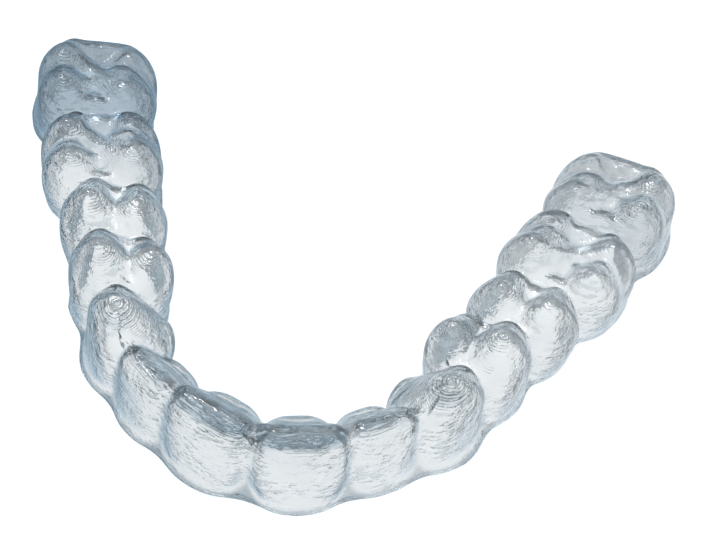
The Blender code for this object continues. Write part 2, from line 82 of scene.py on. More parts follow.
# Roundings where parts and ridges join, the height of the widest girth as a share of the crown, how
# much of the sheet widens a crown on either side, the cheek groove's half width as a share of its
# tooth, the share of a height over the biting side that counts as distance, and how far past its own
# width a crown still shapes the sheet.
JOIN_ROUNDING = 0.5
RIDGE_ROUNDING = 0.35
GIRTH_SHARE = 0.45
SIDE_SHEET = 0.6
GROOVE_SHARE = 0.13
SLANT_SHARE = 0.8
NEIGHBOUR_REACH = 7.0

# How far outside the crowns the painted shade of the gum band and of the wedges between the crowns
# starts and is full.
GUM_SHADE_START = 0.05
GUM_SHADE_END = 0.45

# The knob round a cusp: how steeply its sides fall in the end, and the width of its level middle.
DOME_SLOPE = 2.4
DOME_TIP = 3.5

# Rays of one profile, how far they reach, how often their step is halved, and steps round an end.
RAYS = 96
RAY_REACH = 12.0
HALVINGS = 22
END_STEPS = 64

# Noise scales of the materials, per metre, and how the strokes' noise is stretched.
CLOUD_SCALE = 180.0
DRIFT_SCALE = 260.0
PATCH_SCALE = 330.0
WAVE_SCALE = 800.0
BREAK_SCALE = 900.0
GRAIN_SCALE = 1500.0
STROKE_SCALE = 2500.0
STROKE_STRETCH = (0.34, 0.34, 1.0)
FLOOR_SCALE = 12.0

# Where each mask starts and where it is full, as values of what it is made from: the phase in a
# layer, the distance from its edge, noise, how level the surface is, and how far it is seen edge on.
LAYER_JUMP = (0.78, 1.0)
LAYER_EDGE = (0.26, 0.0)
LAYER_BREAKS = (0.38, 0.56)
LAYER_PATCHES = (0.43, 0.60)
LEVEL_ENOUGH = (0.50, 0.85)
STROKE_PEAKS = (0.48, 0.62)
STROKE_PATCHES = (0.38, 0.62)
SEEN_EDGE_ON = (0.42, 0.66)

# The layer steps: the height over which they fade in, in metres, how far the edge line is shifted
# and how far the layers drift, both in layers, the outer face's share of all relief, how much
# steeper a flank may be for the coarser steps and their share of the depth, and the strength of the
# line round a disc.
LAYER_RISE = 0.002
EDGE_SHIFT = 0.1
LAYER_WARP = 3.2
OUTER_SHARE = 0.6
CREST_LEVELNESS = 2.2
CREST_DEPTH = 0.5
DISC_RIM = 3.2

# The plastic's own colour over the cloud noise, how much noise adds to the roughness and how much
# there is without it, and the length over which the painted shade of the biting edges fades in, in
# metres.
BASE_COLOURS = ((0.3, (0.78, 0.775, 0.77)), (0.7, (0.85, 0.84, 0.83)))
SMOOTH_ROUGHNESS = (0.08, 0.02)
CUT_ROUGHNESS = (0.5, 0.25)
EDGE_FADE = 0.003

# The floor's darkest clouds as a share of its colour, and the share of the painted reflection tint on
# the floor that the side adds and that is there in any case.
FLOOR_SHADE = 0.99
MIRROR_SHADE = (0.75, 0.25)

# The surround's colour by height, from the horizon (0) up.
SKY_COLOURS = (
    (0.0, (0.34, 0.42, 0.48)),
    (0.2, (0.42, 0.50, 0.56)),
    (0.5, (0.64, 0.70, 0.74)),
    (0.8, (1.0, 1.0, 1.0)),
)

# Where the overhead lamp stands and its size, in metres.
LAMP_PLACE = (-0.25, 0.25, 0.75)
LAMP_SIZE = 0.12

# Steps across the cut edge, from the outer face to the inner one.
TRIM_STEPS = 6

Ridge = namedtuple("Ridge", "start end slope tip")
Tooth = namedtuple(
    "Tooth",
    "name width height outward inward power flare taper neck_out neck_in top lean corner groove"
    " gum_out gum_in columns ridges",
)
Side = namedtuple("Side", "stands_out turned more_out more_in")
Placed = namedtuple("Placed", "kind along start end stands_out centre back outward")


def incisor_ridges(near_share, near_drop, far_drop):
    """A straight biting edge, two ridges down the tongue side and the low bulge between them."""
    return (
        Ridge((near_share, 0.23, near_drop), (0.66, 0.23, far_drop), 1.2, 1.0),
        Ridge((-0.62, 0.05, 0.6), (-0.40, -0.60, 3.6), 1.1, 0.9),
        Ridge((0.62, 0.05, 0.6), (0.40, -0.60, 3.6), 1.1, 0.9),
        Ridge((-0.25, -0.72, 4.0), (0.25, -0.72, 4.0), 0.9, 1.2),
    )


def cusp_dome(cusp, drop=0.1):
    """The rounded knob round a cusp: a very short ridge whose sides start level and soon get steep."""
    along, across, cusp_drop = cusp
    return Ridge(
        (along - 0.03, across, cusp_drop + drop), (along + 0.03, across, cusp_drop + drop),
        DOME_SLOPE, DOME_TIP,
    )


CANINE_TIP = (0.0, 0.1, 0.0)
CANINE_RIDGES = (
    Ridge(CANINE_TIP, (-0.80, -0.07, 2.5), 1.5, 1.5),
    Ridge(CANINE_TIP, (0.74, -0.05, 1.6), 1.5, 1.5),
    Ridge(CANINE_TIP, (0.0, -0.75, 4.6), 1.0, 1.4),
    Ridge(CANINE_TIP, (0.0, 0.70, 2.6), 1.3, 1.5),
    cusp_dome(CANINE_TIP, 0.2),
)

PREMOLAR1_CHEEK_CUSP = (0.04, 0.40, 0.0)
PREMOLAR1_PALATE_CUSP = (-0.10, -0.56, 1.1)
PREMOLAR1_RIDGES = (
    Ridge(PREMOLAR1_CHEEK_CUSP, (0.0, 0.05, 2.4), 1.8, 1.8),
    Ridge(PREMOLAR1_CHEEK_CUSP, (-0.62, 0.40, 2.2), 1.8, 1.8),
    Ridge(PREMOLAR1_CHEEK_CUSP, (0.70, 0.36, 1.1), 1.8, 1.8),
    Ridge(PREMOLAR1_PALATE_CUSP, (0.0, -0.15, 3.0), 1.6, 2.0),
    Ridge(PREMOLAR1_PALATE_CUSP, (-0.55, -0.50, 2.6), 1.6, 1.8),
    Ridge(PREMOLAR1_PALATE_CUSP, (0.55, -0.50, 2.1), 1.6, 1.8),
    Ridge((-0.66, 0.30, 2.7), (-0.60, -0.45, 3.0), 1.0, 1.2),
    Ridge((0.66, 0.30, 2.6), (0.60, -0.45, 2.9), 1.0, 1.2),
    cusp_dome(PREMOLAR1_CHEEK_CUSP),
    cusp_dome(PREMOLAR1_PALATE_CUSP),
)

PREMOLAR2_CHEEK_CUSP = (-0.04, 0.50, 0.0)
PREMOLAR2_PALATE_CUSP = (-0.16, -0.40, 0.5)
PREMOLAR2_RIDGES = (
    Ridge(PREMOLAR2_CHEEK_CUSP, (0.0, 0.10, 2.2), 1.8, 1.8),
    Ridge(PREMOLAR2_CHEEK_CUSP, (-0.64, 0.44, 2.0), 1.8, 1.8),
    Ridge(PREMOLAR2_CHEEK_CUSP, (0.72, 0.42, 1.0), 1.8, 1.8),
    Ridge(PREMOLAR2_PALATE_CUSP, (0.0, -0.10, 2.4), 1.6, 2.2),
    Ridge(PREMOLAR2_PALATE_CUSP, (-0.60, -0.45, 2.1), 1.6, 1.8),
    Ridge(PREMOLAR2_PALATE_CUSP, (0.62, -0.44, 1.4), 1.6, 1.8),
    Ridge((-0.68, 0.35, 2.3), (-0.64, -0.40, 2.5), 1.0, 1.2),
    Ridge((0.68, 0.35, 2.2), (0.64, -0.40, 2.4), 1.0, 1.2),
    cusp_dome(PREMOLAR2_CHEEK_CUSP),
    cusp_dome(PREMOLAR2_PALATE_CUSP),
)

MOLAR1_FRONT_CHEEK_CUSP = (-0.50, 0.56, 0.0)
MOLAR1_BACK_CHEEK_CUSP = (0.40, 0.57, 0.3)
MOLAR1_FRONT_PALATE_CUSP = (-0.38, -0.46, 0.0)
MOLAR1_BACK_PALATE_CUSP = (0.56, -0.48, 0.8)
MOLAR1_RIDGES = (
    Ridge(MOLAR1_FRONT_CHEEK_CUSP, (-0.16, 0.56, 0.6), 1.9, 1.9),
    Ridge(MOLAR1_FRONT_CHEEK_CUSP, (-0.16, 0.12, 2.2), 1.6, 1.8),
    Ridge(MOLAR1_FRONT_CHEEK_CUSP, (-0.74, 0.50, 1.3), 1.4, 1.8),
    Ridge(MOLAR1_BACK_CHEEK_CUSP, (0.74, 0.46, 1.1), 1.8, 1.8),
    Ridge(MOLAR1_BACK_CHEEK_CUSP, (0.12, 0.10, 1.9), 1.6, 1.8),
    Ridge(MOLAR1_FRONT_PALATE_CUSP, (0.14, -0.40, 0.7), 1.7, 2.2),
    Ridge(MOLAR1_FRONT_PALATE_CUSP, (0.06, 0.08, 1.9), 1.5, 2.0),
    Ridge(MOLAR1_FRONT_PALATE_CUSP, (-0.70, -0.40, 1.6), 1.4, 1.8),
    Ridge(MOLAR1_BACK_PALATE_CUSP, (0.78, -0.44, 1.3), 1.6, 1.8),
    Ridge(MOLAR1_BACK_PALATE_CUSP, (0.34, -0.15, 2.4), 1.5, 1.8),
    Ridge((-0.76, 0.48, 1.9), (-0.74, -0.42, 2.0), 1.0, 1.2),
    Ridge((0.76, 0.42, 2.0), (0.76, -0.45, 2.1), 1.0, 1.2),
    cusp_dome(MOLAR1_FRONT_CHEEK_CUSP),
    cusp_dome(MOLAR1_BACK_CHEEK_CUSP),
    cusp_dome(MOLAR1_FRONT_PALATE_CUSP),
    cusp_dome(MOLAR1_BACK_PALATE_CUSP),
)

MOLAR2_FRONT_CHEEK_CUSP = (-0.46, 0.56, 0.0)
MOLAR2_BACK_CHEEK_CUSP = (0.34, 0.55, 0.4)
MOLAR2_FRONT_PALATE_CUSP = (-0.46, -0.44, 0.7)
MOLAR2_BACK_PALATE_CUSP = (0.46, -0.50, 1.3)
MOLAR2_RIDGES = (
    Ridge(MOLAR2_FRONT_CHEEK_CUSP, (-0.16, 0.55, 0.6), 1.8, 1.9),
    Ridge(MOLAR2_FRONT_CHEEK_CUSP, (-0.16, 0.12, 1.9), 1.4, 1.8),
    Ridge(MOLAR2_BACK_CHEEK_CUSP, (0.72, 0.42, 1.2), 1.5, 1.8),
    Ridge(MOLAR2_BACK_CHEEK_CUSP, (0.16, 0.12, 1.8), 1.4, 1.8),
    Ridge(MOLAR2_FRONT_PALATE_CUSP, (-0.06, -0.40, 1.0), 1.6, 2.0),
    Ridge(MOLAR2_FRONT_PALATE_CUSP, (0.10, 0.10, 1.9), 1.4, 2.0),
    Ridge(MOLAR2_BACK_PALATE_CUSP, (0.30, -0.20, 2.2), 1.3, 1.8),
    Ridge((-0.74, 0.46, 1.6), (-0.74, -0.42, 1.8), 0.9, 1.2),
    Ridge((0.72, 0.40, 1.5), (0.72, -0.45, 1.8), 0.8, 1.2),
    cusp_dome(MOLAR2_FRONT_CHEEK_CUSP),
    cusp_dome(MOLAR2_BACK_CHEEK_CUSP),
    cusp_dome(MOLAR2_FRONT_PALATE_CUSP),
    cusp_dome(MOLAR2_BACK_PALATE_CUSP),
)

# The teeth from the midline to the back of the arch. Width goes along the arch, height from the trim to
# the highest cusp or edge, outward and inward from the crown's centre to its cheek and palate side.
TEETH = (
    Tooth(
        name="central", width=8.6, height=10.0, outward=2.35, inward=5.4,
        power=2.6, flare=0.0, taper=0.30, neck_out=0.02, neck_in=0.08, top=0.10, lean=-0.05,
        corner=1.1, groove=0.0, gum_out=2.45, gum_in=5.8, columns=32,
        ridges=incisor_ridges(-0.82, 0.0, 0.25),
    ),
    Tooth(
        name="lateral", width=6.9, height=9.2, outward=2.05, inward=4.95,
        power=2.6, flare=-0.04, taper=0.30, neck_out=0.02, neck_in=0.08, top=0.10, lean=-0.05,
        corner=1.1, groove=0.0, gum_out=2.1, gum_in=5.5, columns=24,
        ridges=incisor_ridges(-0.74, 0.1, 0.5),
    ),
    Tooth(
        name="canine", width=8.0, height=10.05, outward=2.85, inward=5.65,
        power=2.4, flare=0.0, taper=0.16, neck_out=0.02, neck_in=0.12, top=0.16, lean=-0.03,
        corner=1.3, groove=0.0, gum_out=3.1, gum_in=5.35, columns=32, ridges=CANINE_RIDGES,
    ),
    Tooth(
        name="premolar1", width=7.5, height=9.6, outward=4.8, inward=5.25,
        power=2.7, flare=0.08, taper=0.07, neck_out=0.12, neck_in=0.12, top=0.14, lean=0.0,
        corner=1.4, groove=0.0, gum_out=4.3, gum_in=4.75, columns=24, ridges=PREMOLAR1_RIDGES,
    ),
    Tooth(
        name="premolar2", width=7.15, height=9.0, outward=5.55, inward=5.1,
        power=2.7, flare=0.06, taper=0.07, neck_out=0.18, neck_in=0.10, top=0.14, lean=0.0,
        corner=1.4, groove=0.0, gum_out=4.2, gum_in=4.8, columns=24, ridges=PREMOLAR2_RIDGES,
    ),
    Tooth(
        name="molar1", width=10.25, height=8.45, outward=6.45, inward=6.05,
        power=2.9, flare=0.0, taper=0.07, neck_out=0.13, neck_in=0.10, top=0.12, lean=0.0,
        corner=1.4, groove=0.5, gum_out=5.4, gum_in=5.9, columns=40, ridges=MOLAR1_RIDGES,
    ),
    Tooth(
        name="molar2", width=10.5, height=8.5, outward=6.2, inward=6.35,
        power=2.9, flare=0.0, taper=0.07, neck_out=0.0, neck_in=0.10, top=0.12, lean=0.0,
        corner=1.4, groove=0.4, gum_out=5.9, gum_in=5.65, columns=40, ridges=MOLAR2_RIDGES,
    ),
)

# Each tooth on the -X side and on the +X side: how far it stands outside the arch line, how far it is
# turned from it in degrees, and how much further than in TEETH it and the gum beside it reach to the
# cheek side and to the palate side.
SIDES = {
    "central": (Side(0.75, -7.5, 0.0, 0.0), Side(1.15, -5.0, 0.0, 0.1)),
    "lateral": (Side(0.45, -0.5, -0.1, 0.2), Side(0.3, -2.5, 0.0, 0.25)),
    "canine": (Side(0.2, -2.0, -0.2, 0.2), Side(0.4, -1.0, 0.0, 0.3)),
    "premolar1": (Side(-0.8, 2.0, 0.0, 0.25), Side(-0.6, -4.5, 0.0, 0.25)),
    "premolar2": (Side(-0.9, -2.5, 0.0, 0.1), Side(-0.1, 1.5, 0.35, 0.3)),
    "molar1": (Side(0.1, 2.0, 0.0, -0.05), Side(0.45, 0.0, 0.45, 0.5)),
    "molar2": (Side(1.0, 0.0, 0.0, 0.0), Side(0.85, -3.0, -0.05, 0.4)),
}


def arch_table():
    """Length along the arch line from the midline, with x, y and heading at each length.

    An ellipse's quarter up to ARCH_SWEEP, then a run whose heading grows evenly by ARCH_CURL.
    """
    sweep = np.linspace(0.0, np.radians(ARCH_SWEEP), ARCH_STEPS)
    x = ARCH_HALF_WIDTH * np.sin(sweep)
    y = ARCH_DEPTH * (1.0 - np.cos(sweep))
    heading = np.arctan2(ARCH_DEPTH * np.sin(sweep), ARCH_HALF_WIDTH * np.cos(sweep))
    length = np.append(0.0, np.cumsum(np.hypot(np.diff(x), np.diff(y))))
    rest = np.linspace(0.0, ARCH_LENGTH - length[-1], ARCH_STEPS)[1:]
    rest_heading = heading[-1] + ARCH_CURL * rest
    step = rest[1] - rest[0]
    rest_x = x[-1] + np.cumsum(np.cos(rest_heading)) * step
    rest_y = y[-1] + np.cumsum(np.sin(rest_heading)) * step
    return (
        np.append(length, length[-1] + rest),
        np.append(x, rest_x),
        np.append(y, rest_y),
        np.append(heading, rest_heading),
    )


def on_arch(along):
    """Points and outward directions at signed lengths along the arch line, negative on the -X side."""
    length, x, y, heading = arch_table()
    side = np.where(along < 0.0, -1.0, 1.0)
    reach = np.abs(along)
    angle = np.interp(reach, length, heading)
    points = np.stack([side * np.interp(reach, length, x), np.interp(reach, length, y)], axis=-1)
    outward = np.stack([side * np.sin(angle), -np.cos(angle)], axis=-1)
    return points, outward


def place_teeth():
    """The fourteen teeth in order from the -X end of the arch to the +X end."""
    placed = []
    for side in (-1.0, 1.0):
        edge = 0.0
        for tooth in TEETH:
            own = SIDES[tooth.name][int(side > 0.0)]
            kind = tooth._replace(
                outward=tooth.outward + own.more_out,
                gum_out=tooth.gum_out + own.more_out,
                inward=tooth.inward + own.more_in,
                gum_in=tooth.gum_in + own.more_in,
            )
            along = side * (edge + kind.width / 2)
            points, directions = on_arch(np.array([along]))
            outward = directions[0]
            back = side * np.array([-outward[1], outward[0]])
            turn = np.radians(own.turned)
            placed.append(
                Placed(
                    kind,
                    along,
                    min(side * edge, side * (edge + kind.width)),
                    max(side * edge, side * (edge + kind.width)),
                    own.stands_out,
                    points[0] + outward * own.stands_out,
                    back * np.cos(turn) + outward * np.sin(turn),
                    outward * np.cos(turn) - back * np.sin(turn),
                )
            )
            edge += kind.width
    return sorted(placed, key=lambda tooth: tooth.along)


def rounded_max(a, b, rounding):
    """The larger of two values, plus a quarter of the squared overlap of their rounding zones."""
    near = np.maximum(rounding - np.abs(a - b), 0.0) / rounding
    return np.maximum(a, b) + near * near * rounding / 4


def biting_height(kind, along, across):
    """Height of the biting side: the highest of the ridges, each falling away evenly from its line."""
    height = None
    for ridge in kind.ridges:
        ends = []
        for share_along, share_across, drop in (ridge.start, ridge.end):
            depth = kind.outward if share_across > 0.0 else kind.inward
            ends.append((share_along * kind.width / 2, share_across * depth, drop))
        (along0, across0, drop0), (along1, across1, drop1) = ends
        run_along = along1 - along0
        run_across = across1 - across0
        share = ((along - along0) * run_along + (across - across0) * run_across) / (
            run_along**2 + run_across**2
        )
        share = np.clip(share, 0.0, 1.0)
        off_along = along - along0 - share * run_along
        off_across = across - across0 - share * run_across
        distance = np.sqrt(off_along**2 + off_across**2 + ridge.tip**2) - ridge.tip
        here = kind.height - drop0 - share * (drop1 - drop0) - ridge.slope * distance
        height = here if height is None else rounded_max(height, here, RIDGE_ROUNDING)
    return height


def crown(tooth, x, y, z, sheet):
    """About the distance outside one crown: the rounded larger of its side wall, a superellipse that
    narrows above and below its girth, and of the height over its biting side."""
    kind = tooth.kind
    dx = x - tooth.centre[0]
    dy = y - tooth.centre[1]
    along = dx * tooth.back[0] + dy * tooth.back[1]
    across = dx * tooth.outward[0] + dy * tooth.outward[1]
    girth = GIRTH_SHARE * kind.height
    across = across - kind.lean * (z - girth)
    below = np.clip((girth - z) / girth, 0.0, 1.2) ** 2
    above = np.clip((z - girth) / (kind.height - girth), 0.0, 1.3) ** 2
    narrow = 1.0 - kind.top * above
    depth = np.where(across > 0.0, kind.outward, kind.inward)
    neck = np.where(across > 0.0, kind.neck_out, kind.neck_in)
    flare = 1.0 + kind.flare * np.clip(across / depth, -1.2, 1.2)
    half_width = (kind.width / 2 + SIDE_SHEET * sheet) * (narrow - kind.taper * below) * flare
    cheek = np.where(across > 0.0, kind.groove, 0.0) * np.clip(z / kind.height, 0.0, 1.0)
    groove_here = np.exp(-((along / (GROOVE_SHARE * kind.width)) ** 2))
    half_depth = depth * (narrow - neck * below) - cheek * groove_here
    power = kind.power
    ratio = (np.abs(along) / half_width) ** power + (np.abs(across) / half_depth) ** power
    side = (ratio ** (1.0 / power) - 1.0) * np.minimum(half_width, half_depth)
    top = (z - biting_height(kind, along, across)) * SLANT_SHARE
    return rounded_max(side, top, kind.corner)


def band(reach, z, half_depth, height):
    """About the distance outside a band along the arch, whose section is half a superellipse."""
    ratio = (np.abs(reach) / half_depth) ** BAND_POWER + (np.abs(z) / height) ** BAND_POWER
    return (ratio ** (1.0 / BAND_POWER) - 1.0) * np.minimum(half_depth, height)


def profile_places(teeth):
    """Where the profiles stand and point, once round the arch: out, round an end, in, round the other.

    Gives the place on the arch line, the direction, the length along the arch and how far the
    profile has turned from the outward side (0) to the inward side (1).
    """
    along = [
        tooth.start + tooth.kind.width * np.arange(tooth.kind.columns) / tooth.kind.columns
        for tooth in teeth
    ]
    along = np.append(np.concatenate(along), teeth[-1].end)
    along = along[(along > teeth[0].along - 1e-6) & (along < teeth[-1].along + 1e-6)]
    points, outward = on_arch(along)
    middles = [tooth.along for tooth in teeth]
    stands_out = np.interp(along, middles, [tooth.stands_out for tooth in teeth])
    points = points + outward * stands_out[:, None]
    onward = np.stack([-outward[:, 1], outward[:, 0]], axis=-1)
    turn = np.pi * np.arange(1, END_STEPS) / END_STEPS
    cos, sin = np.cos(turn)[:, None], np.sin(turn)[:, None]
    steps = len(turn)
    last = np.repeat(points[-1:], steps, axis=0)
    first = np.repeat(points[:1], steps, axis=0)
    places = [points, last, points[::-1], first]
    directions = [
        outward,
        outward[-1] * cos + onward[-1] * sin,
        -outward[::-1],
        -outward[0] * cos - onward[0] * sin,
    ]
    lengths = [along, np.full(steps, along[-1]), along[::-1], np.full(steps, along[0])]
    inwards = [np.zeros(len(along)), turn / np.pi, np.ones(len(along)), 1.0 - turn / np.pi]
    return tuple(np.concatenate(part) for part in (places, directions, lengths, inwards))


def outer_surface(teeth, sheet, rows):
    """Points of the outside, profile by profile, from the trim up to the line over the arch.

    Each point is where a ray from inside the crowns leaves them, found by halving. The rays of a
    profile turn from level to straight up while their start climbs to half the tooth's height.
    """
    places, directions, lengths, inwards = profile_places(teeth)
    middles = [tooth.along for tooth in teeth]
    outer = np.interp(lengths, middles, [tooth.kind.gum_out for tooth in teeth])
    inner = np.interp(lengths, middles, [tooth.kind.gum_in for tooth in teeth])
    contacts = np.array([tooth.start for tooth in teeth[1:]])
    gap = np.abs(lengths[:, None] - contacts).min(axis=1)
    scallop = GUM_SCALLOP * (1.0 - 2.0 * np.exp(-((gap / SCALLOP_SPREAD) ** 2)))
    half_depth = (outer + scallop) * (1.0 - inwards) + inner * inwards
    papilla = np.exp(-((gap / PAPILLA_SPREAD) ** 2))
    papilla_height = GUM_HEIGHT + (PAPILLA_HEIGHT - GUM_HEIGHT) * papilla
    tooth_height = np.interp(lengths, middles, [tooth.kind.height for tooth in teeth])

    rise = np.linspace(0.0, np.pi / 2, RAYS)
    start = 0.5 * tooth_height[:, None] * np.sin(rise)
    low = np.zeros(start.shape)
    high = np.full(start.shape, RAY_REACH)

    def ray_points(distance):
        reach = distance * np.cos(rise)
        x = places[:, 0, None] + directions[:, 0, None] * reach
        y = places[:, 1, None] + directions[:, 1, None] * reach
        return reach, x, y, start + distance * np.sin(rise)

    for _ in range(HALVINGS):
        middle = (low + high) / 2
        reach, x, y, z = ray_points(middle)
        gums = band(reach, z, half_depth[:, None], GUM_HEIGHT)
        papillae = band(reach, z, half_depth[:, None] - PAPILLA_STEP, papilla_height[:, None])
        web = band(reach, z, WEB_DEPTH, WEB_SHARE * tooth_height[:, None])
        between = rounded_max(-web, -papillae, JOIN_ROUNDING)
        outside = -rounded_max(-gums, between, JOIN_ROUNDING)
        for tooth in teeth:
            near = np.abs(lengths - tooth.along) < tooth.kind.width / 2 + NEIGHBOUR_REACH
            own = crown(tooth, x[near], y[near], z[near], sheet)
            outside[near] = -rounded_max(-outside[near], -own, JOIN_ROUNDING)
        low = np.where(outside < 0.0, middle, low)
        high = np.where(outside < 0.0, high, middle)
    _, x, y, z = ray_points((low + high) / 2)
    return even_rows(np.stack([x, y, z], axis=-1), rows)


def even_rows(profiles, rows):
    """The same profiles with their points at even distances along them.

    Each profile's lengths are set behind the one before it, so one interpolation serves them all.
    """
    steps = np.linalg.norm(np.diff(profiles, axis=1), axis=2)
    lengths = np.concatenate([np.zeros((len(profiles), 1)), np.cumsum(steps, axis=1)], axis=1)
    shift = np.arange(len(profiles))[:, None] * (lengths.max() + 1.0)
    wanted = lengths[:, -1:] * np.linspace(0.0, 1.0, rows) + shift
    flat = (lengths + shift).reshape(-1)
    even = [np.interp(wanted, flat, profiles[..., axis].reshape(-1)) for axis in range(3)]
    return np.stack(even, axis=-1)


def surface_normals(points):
    """Outward unit normals: the cross product of the steps along and up the surface. Profiles that
    meet at the top share the mean of their normals."""
    along = np.roll(points, -1, axis=0) - np.roll(points, 1, axis=0)
    upward = np.gradient(points, axis=1)
    normals = np.cross(along, upward)
    normals[:, -1] = normals[:, -2]
    _, group = np.unique(np.round(points[:, -1], 6), axis=0, return_inverse=True)
    group = group.reshape(-1)
    sums = np.zeros((group.max() + 1, 3))
    np.add.at(sums, group, normals[:, -1] / np.linalg.norm(normals[:, -1], axis=1, keepdims=True))
    normals[:, -1] = sums[group]
    return normals / np.linalg.norm(normals, axis=2, keepdims=True)


def gum_shade_share(teeth, outer, sheet):
    """One on the gum band and the wedges between the crowns, zero on the crowns: rises with the
    distance to the nearest crown."""
    # The share masks painted shade on the gum band and between the crowns.
    x, y, z = np.moveaxis(outer, -1, 0)
    distance = np.min([crown(tooth, x, y, z, sheet) for tooth in teeth], axis=0)
    share = np.clip((distance - GUM_SHADE_START) / (GUM_SHADE_END - GUM_SHADE_START), 0.0, 1.0)
    return share * share * (3.0 - 2.0 * share)


def sheet_surfaces(sheet, rows):
    """The two faces of the sheet, the inner one moved in by the sheet along the normals, and the
    gum share of their points. Both end level at the trim, and the outer one is centred over the
    origin."""
    teeth = place_teeth()
    outer = outer_surface(teeth, sheet, rows)
    gums = gum_shade_share(teeth, outer, sheet)
    inner = outer - sheet * surface_normals(outer)
    outer[:, 0, 2] = 0.0
    inner[:, 0, 2] = 0.0
    centre = (outer.min(axis=(0, 1)) + outer.max(axis=(0, 1))) / 2
    centre[2] = 0.0
    return outer - centre, inner - centre, gums


def trim_rows(outer, inner, rounding):
    """Rows across the cut edge, from the outer face to the inner one: straight across, and lower by
    the rounding times a flattened circle's height."""
    share = np.linspace(0.0, 1.0, TRIM_STEPS + 1)[None, :, None]
    rows = outer[:, :1] * (1.0 - share) + inner[:, :1] * share
    bulge = (1.0 - np.abs(2.0 * share[..., 0] - 1.0) ** 4) ** 0.25
    rows[..., 2] = rounding * (1.0 - bulge)
    return rows


def grid_faces(columns, rows):
    """Corner numbers of a grid that closes on itself along its columns."""
    here = np.arange(columns)[:, None] * rows + np.arange(rows - 1)
    after = (np.arange(1, columns + 1) % columns)[:, None] * rows + np.arange(rows - 1)
    return np.stack([here, after, after + 1, here + 1], axis=-1).reshape(-1, 4)


def closed_mesh(name, points, marks):
    """One closed mesh from a grid whose columns run from the middle of the outer face over the trim
    to the middle of the inner one. Points that coincide at the middle line are merged. Each of the
    marks becomes an attribute with one value a point."""
    columns, rows = points.shape[:2]
    mesh = bpy.data.meshes.new(name)
    mesh.from_pydata(
        (points.reshape(-1, 3) * MM).tolist(), [], grid_faces(columns, rows).tolist()
    )
    for mark, values in marks.items():
        layer = mesh.attributes.new(mark, "FLOAT", "POINT")
        layer.data.foreach_set("value", values.reshape(-1).astype(np.float32))
    bm = bmesh.new()
    bm.from_mesh(mesh)
    bmesh.ops.remove_doubles(bm, verts=bm.verts, dist=1e-7)
    bmesh.ops.recalc_face_normals(bm, faces=bm.faces)
    bm.to_mesh(mesh)
    bm.free()
    mesh.shade_smooth()
    return mesh


def add_piece(name, mesh):
    piece = bpy.data.objects.new(name, mesh)
    bpy.context.scene.collection.objects.link(piece)
    return piece


def new_group(name, inputs, outputs):
    """An empty shader node group with named sockets, its input and output nodes and its tree."""
    tree = bpy.data.node_groups.new(name, "ShaderNodeTree")
    for label, kind, default in inputs:
        socket = tree.interface.new_socket(label, in_out="INPUT", socket_type=kind)
        if default is not None:
            socket.default_value = default
    for label, kind in outputs:
        tree.interface.new_socket(label, in_out="OUTPUT", socket_type=kind)
    return tree, tree.nodes.new("NodeGroupInput"), tree.nodes.new("NodeGroupOutput")


def new_node(tree, kind, inputs=None, **settings):
    """A shader node with its settings. Its inputs are linked to sockets or set to plain values."""
    node = tree.nodes.new(kind)
    for name, value in settings.items():
        setattr(node, name, value)
    for name, value in (inputs or {}).items():
        if isinstance(value, bpy.types.NodeSocket):
            tree.links.new(value, node.inputs[name])
        else:
            node.inputs[name].default_value = value
    return node


def math_node(tree, operation, *values):
    """A Math node fed by sockets or plain numbers. Returns its output."""
    return new_node(tree, "ShaderNodeMath", dict(enumerate(values)), operation=operation).outputs[0]


def product(tree, first, second):
    return math_node(tree, "MULTIPLY", first, second)


def inverse(tree, value):
    """One less the value. Returns the output socket."""
    return math_node(tree, "SUBTRACT", 1.0, value)


def noise_node(tree, vector, scale, detail, roughness=0.5):
    inputs = {"Vector": vector, "Scale": scale, "Detail": detail, "Roughness": roughness}
    return new_node(tree, "ShaderNodeTexNoise", inputs).outputs[0]


def soft_step(tree, value, low, high):
    """Rises smoothly from zero at low to one at high. Returns the output socket."""
    inputs = {"Value": value, "From Min": low, "From Max": high}
    node = new_node(tree, "ShaderNodeMapRange", inputs, interpolation_type="SMOOTHSTEP")
    return node.outputs["Result"]


def separated(tree, vector):
    """The X, Y and Z outputs of a vector, by name."""
    return new_node(tree, "ShaderNodeSeparateXYZ", {0: vector}).outputs


def attribute(tree, name):
    """The value of one of the mesh's marks. Returns the output socket."""
    return new_node(tree, "ShaderNodeAttribute", attribute_name=name).outputs["Fac"]


def colour_ramp(tree, value, stops):
    """A colour ramp through stops of a position and a colour, in rising order. Returns its colour."""
    node = new_node(tree, "ShaderNodeValToRGB", {"Fac": value})
    elements = node.color_ramp.elements
    elements[0].position = stops[0][0]
    elements[1].position = stops[-1][0]
    for position, _ in stops[1:-1]:
        elements.new(position)
    for element, (_, colour) in zip(elements, stops):
        element.color = (*colour, 1.0)
    return node.outputs["Color"]


def group_node(tree, group, inputs):
    return new_node(tree, "ShaderNodeGroup", inputs, node_tree=group).outputs


def tinted(tree, colour, mask, tint):
    """The colour, multiplied by the tint where the mask is one. Returns the output socket."""
    inputs = {"Factor": mask, "A": colour, "B": (*tint, 1.0)}
    node = new_node(tree, "ShaderNodeMix", inputs, data_type="RGBA", blend_type="MULTIPLY")
    return node.outputs["Result"]


def bump(tree, height, distance, below):
    """A Bump node over an earlier normal, if there is one. Returns its output."""
    inputs = {"Height": height, "Distance": distance}
    if below is not None:
        inputs["Normal"] = below
    return new_node(tree, "ShaderNodeBump", inputs).outputs["Normal"]


